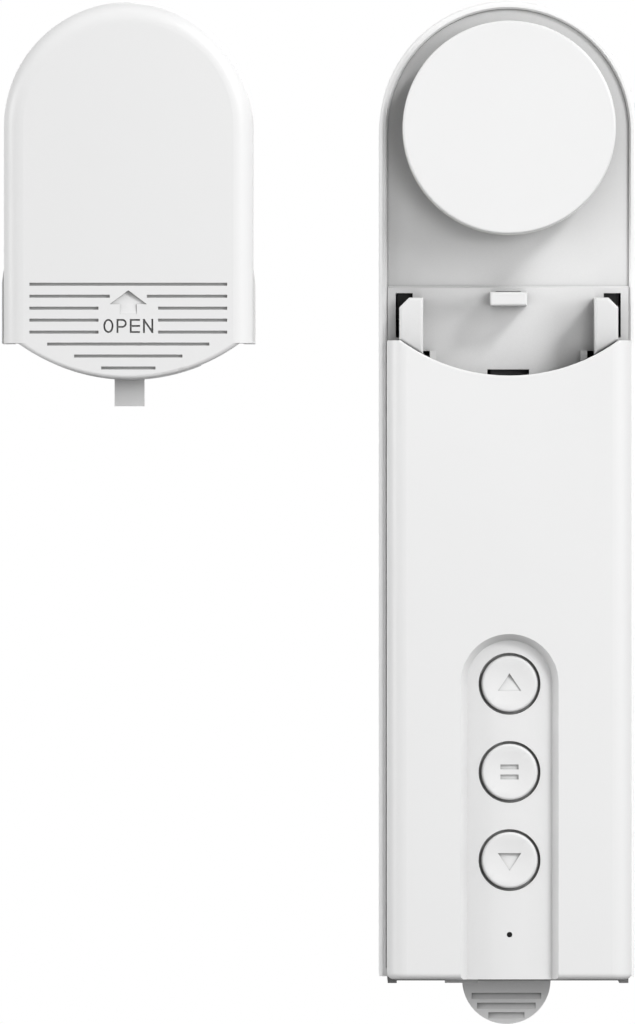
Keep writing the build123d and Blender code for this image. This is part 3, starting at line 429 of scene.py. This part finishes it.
def mark_cover(frame, finishes):
    """Sink an arrow and the word OPEN into the chain cover."""
    low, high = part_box("chain_cover")
    x = (low.x + high.x) / 2
    axis_z = high.z - (high.x - low.x) / 2 + ARCH_RAISE
    face = low.y
    top = axis_z - ARROW_TOP_BELOW
    shoulder = top - ARROW_HEAD_HEIGHT
    half = ARROW_WIDTH / 2
    stem = ARROW_STEM_WIDTH / 2
    arrow = [(x, top), (x - half, shoulder), (x - stem, shoulder), (x - stem, top - ARROW_HEIGHT),
             (x + stem, top - ARROW_HEIGHT), (x + stem, shoulder), (x + half, shoulder)]
    cutters = [prism(arrow, face + ARROW_DEPTH, face - ARROW_DEPTH, face + ARROW_LOW_DEPTH)]
    word_top = axis_z - WORD_TOP_BELOW - WORD_STROKE / 2
    word_low = word_top - WORD_HEIGHT + WORD_STROKE
    start = x - 1.5 * LETTER_PITCH - LETTER_WIDTH / 2 + WORD_STROKE / 2
    for index, letter in enumerate("OPEN"):
        left = start + index * LETTER_PITCH
        cutters += letter_strokes(letter, left, word_low, word_top, face)
    reworked(frame, "chain_cover", "white_shell", cutters, finishes)


def letter_strokes(letter, left, low, top, face):
    """Strokes of one plain capital, as cutters."""
    back = face + WORD_DEPTH
    front = face - WORD_DEPTH
    width = LETTER_WIDTH - WORD_STROKE
    right = left + width
    middle = (low + top) / 2
    if letter == "O":
        centre = ((left + right) / 2, middle)
        radius = (width / 2, (top - low) / 2)
        return [bend(centre, radius, 0, 180, WORD_STROKE, back, front),
                bend(centre, radius, 180, 360, WORD_STROKE, back, front)]
    lines = {
        "E": [((left, low), (left, top)), ((left, low), (right, low)),
              ((left, middle), (right, middle)), ((left, top), (right, top))],
        "N": [((left, low), (left, top)), ((left, top), (right, low)),
              ((right, low), (right, top))],
        "P": [((left, low), (left, top))],
    }[letter]
    strokes = [stroke(a, b, WORD_STROKE, back, front) for a, b in lines]
    if letter == "P":
        bowl = (top - middle) / 2 + WORD_STROKE / 4
        bowl_z = top - bowl
        turn_x = right - bowl
        for z in (top, top - 2 * bowl):
            strokes.append(stroke((left, z), (turn_x, z), WORD_STROKE, back, front))
        strokes.append(bend((turn_x, bowl_z), (bowl, bowl), -90, 90, WORD_STROKE, back, front))
    return strokes


def make_stage():
    """Round pale floor under the object, white to the camera but still shaded by the object."""
    low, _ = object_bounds()
    bpy.ops.mesh.primitive_circle_add(vertices=FLOOR_SIDES, radius=FLOOR_RADIUS,
                                      fill_type="NGON", location=(0, 0, low.z - FLOOR_GAP))
    floor = bpy.context.object
    floor.name = "floor"
    material = bpy.data.materials.new("floor")
    material.use_nodes = True
    nodes = material.node_tree.nodes
    links = material.node_tree.links
    shader = nodes["Principled BSDF"]
    shader.inputs["Base Color"].default_value = (*FLOOR_COLOUR, 1)
    shader.inputs["Roughness"].default_value = FLOOR_ROUGHNESS
    shader.inputs["Specular IOR Level"].default_value = 0
    shader.inputs["Emission Color"].default_value = (1, 1, 1, 1)
    rays = nodes.new("ShaderNodeLightPath")
    lift = nodes.new("ShaderNodeMath")
    lift.operation = "MULTIPLY"
    lift.inputs[1].default_value = FLOOR_LIFT
    links.new(rays.outputs["Is Camera Ray"], lift.inputs[0])
    links.new(lift.outputs["Value"], shader.inputs["Emission Strength"])
    floor.data.materials.append(material)
    floor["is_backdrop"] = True


def make_world():
    """White to the camera and in reflections, a weaker even light to everything else."""
    world = bpy.data.worlds.new("studio")
    bpy.context.scene.world = world
    world.use_nodes = True
    nodes = world.node_tree.nodes
    links = world.node_tree.links
    background = nodes["Background"]
    background.inputs["Color"].default_value = (1, 1, 1, 1)
    rays = nodes.new("ShaderNodeLightPath")
    seen = nodes.new("ShaderNodeMath")
    seen.operation = "MAXIMUM"
    links.new(rays.outputs["Is Camera Ray"], seen.inputs[0])
    links.new(rays.outputs["Is Transmission Ray"], seen.inputs[1])
    mirrored = nodes.new("ShaderNodeMath")
    mirrored.operation = "MAXIMUM"
    links.new(seen.outputs["Value"], mirrored.inputs[0])
    links.new(rays.outputs["Is Glossy Ray"], mirrored.inputs[1])
    strength = nodes.new("ShaderNodeMapRange")
    strength.inputs["To Min"].default_value = WORLD_LIGHT
    strength.inputs["To Max"].default_value = 1.0
    links.new(mirrored.outputs["Value"], strength.inputs["Value"])
    links.new(strength.outputs["Result"], background.inputs["Strength"])


def add_lamp(name):
    """Square soft lamp aimed at the middle of the object."""
    turn, rise, size, power = LAMPS[name]
    low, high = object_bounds()
    turn = math.radians(turn)
    rise = math.radians(rise)
    level = math.cos(rise)
    away = Vector((level * math.sin(turn), -level * math.cos(turn), math.sin(rise)))
    lamp = bpy.data.lights.new(name, "AREA")
    lamp.size = size
    lamp.energy = power
    holder = bpy.data.objects.new(name, lamp)
    bpy.context.collection.objects.link(holder)
    holder.location = (low + high) / 2 + away * LAMP_DISTANCE
    holder.rotation_euler = (-away).to_track_quat("-Z", "Y").to_euler()


def make_camera():
    """Camera straight in front, far away, framed as the photograph."""
    disc_low, disc_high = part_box("sprocket_cap")
    axis_z = disc_low.z / 2 + disc_high.z / 2
    x = (IMAGE_WIDTH / 2 - BODY_CENTRE_PIXEL[0]) * PIXEL
    z = axis_z - (IMAGE_HEIGHT / 2 - BODY_CENTRE_PIXEL[1]) * PIXEL
    data = bpy.data.cameras.new("camera")
    data.sensor_width = SENSOR_MM
    data.lens = SENSOR_MM * CAMERA_DISTANCE / (IMAGE_HEIGHT * PIXEL)
    data.clip_end = CAMERA_REACH
    camera = bpy.data.objects.new("camera", data)
    bpy.context.collection.objects.link(camera)
    camera.location = (x, PICTURE_PLANE - CAMERA_DISTANCE, z)
    camera.rotation_euler = (math.pi / 2, 0, 0)
    bpy.context.scene.camera = camera


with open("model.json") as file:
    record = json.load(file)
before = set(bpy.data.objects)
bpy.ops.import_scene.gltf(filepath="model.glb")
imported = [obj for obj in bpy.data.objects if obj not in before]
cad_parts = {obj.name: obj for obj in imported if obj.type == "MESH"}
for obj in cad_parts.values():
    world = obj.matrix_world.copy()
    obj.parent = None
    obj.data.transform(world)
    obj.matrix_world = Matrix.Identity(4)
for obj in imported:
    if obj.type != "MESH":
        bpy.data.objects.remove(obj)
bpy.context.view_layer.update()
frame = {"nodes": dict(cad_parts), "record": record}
finishes = {name: make_finish(name) for name in FINISHES}
dress_nodes(frame, finishes)
mark_buttons(frame, finishes)
mark_cover(frame, finishes)
round_rim(frame, finishes)
make_stage()
make_world()
for name in LAMPS:
    add_lamp(name)
make_camera()
bpy.context.scene.view_settings.view_transform = "Standard"
